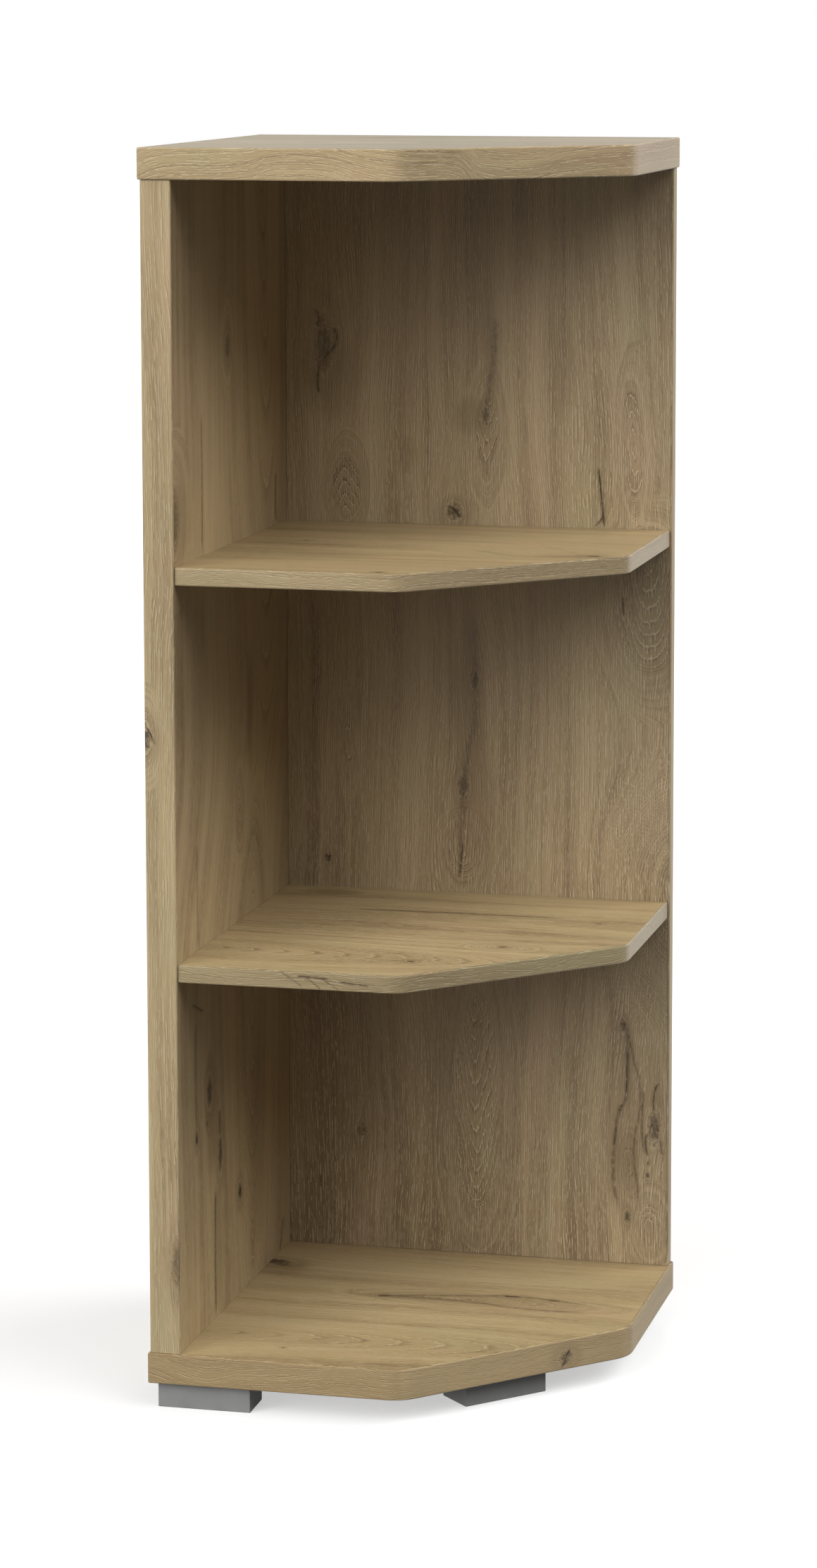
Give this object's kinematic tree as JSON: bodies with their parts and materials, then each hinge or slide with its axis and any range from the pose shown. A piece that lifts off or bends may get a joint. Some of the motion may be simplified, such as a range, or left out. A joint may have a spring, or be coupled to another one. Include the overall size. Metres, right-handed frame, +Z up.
{
  "type": "open end file shelf",
  "caption": "Tall open end unit for a row of office cabinets: wood board shelves with one corner cut at 45 degrees, closed at the left and rear, on low block feet.",
  "frame": {"origin": "on the floor, under the middle of the outline of the top and bottom panels", "axes": "+Z up, the open front looks to -Y, the closed side panel is at -X and the open end with the cut corner at +X"},
  "size_m": [0.408, 0.392, 1.132],
  "materials": {
    "oak_laminate": "matt melamine laminate with a knotty oak print",
    "oak_edge_band": "satin edge band with an oak print and small rounded edges",
    "grey_plastic": "matt grey",
    "beech": "raw beech",
    "zinc_plated_steel": "bright zinc plate",
    "zinc_die_casting": "dull zinc die casting"
  },
  "bodies": {
    "root": {"bottom_panel": "oak_laminate", "top_panel": "oak_laminate", "side_panel": "oak_laminate", "back_panel": "oak_laminate", "lower_shelf": "oak_laminate", "upper_shelf": "oak_laminate", "bottom_front_band": "oak_edge_band", "bottom_left_band": "oak_edge_band", "bottom_rear_band": "oak_edge_band", "top_front_band": "oak_edge_band", "top_left_band": "oak_edge_band", "top_rear_band": "oak_edge_band", "side_front_band": "oak_edge_band", "side_rear_band": "oak_edge_band", "back_end_band": "oak_edge_band", "lower_shelf_band": "oak_edge_band", "upper_shelf_band": "oak_edge_band", "foot_front_left": "grey_plastic", "foot_cut_corner": "grey_plastic", "foot_back_left": "grey_plastic", "foot_back_right": "grey_plastic", "foot_front_left_screw_1": "zinc_plated_steel", "foot_front_left_screw_2": "zinc_plated_steel", "foot_cut_corner_screw_1": "zinc_plated_steel", "foot_cut_corner_screw_2": "zinc_plated_steel", "foot_back_left_screw_1": "zinc_plated_steel", "foot_back_left_screw_2": "zinc_plated_steel", "foot_back_right_screw_1": "zinc_plated_steel", "foot_back_right_screw_2": "zinc_plated_steel", "lower_shelf_front_bolt": "zinc_plated_steel", "lower_shelf_rear_bolt": "zinc_plated_steel", "upper_shelf_front_bolt": "zinc_plated_steel", "upper_shelf_rear_bolt": "zinc_plated_steel", "back_top_left_bolt": "zinc_plated_steel", "back_top_right_bolt": "zinc_plated_steel", "back_bottom_left_bolt": "zinc_plated_steel", "back_bottom_right_bolt": "zinc_plated_steel", "lower_shelf_front_cam": "zinc_die_casting", "lower_shelf_rear_cam": "zinc_die_casting", "upper_shelf_front_cam": "zinc_die_casting", "upper_shelf_rear_cam": "zinc_die_casting", "back_top_left_cam": "zinc_die_casting", "back_top_right_cam": "zinc_die_casting", "back_bottom_left_cam": "zinc_die_casting", "back_bottom_right_cam": "zinc_die_casting", "lower_shelf_left_dowel": "beech", "lower_shelf_right_dowel": "beech", "upper_shelf_left_dowel": "beech", "upper_shelf_right_dowel": "beech", "side_top_front_dowel": "beech", "side_top_rear_dowel": "beech", "side_bottom_front_dowel": "beech", "side_bottom_rear_dowel": "beech", "back_top_dowel": "beech", "back_bottom_dowel": "beech", "back_side_lower_dowel": "beech", "back_side_middle_dowel": "beech", "back_side_upper_dowel": "beech"}
  },
  "joints": []
}
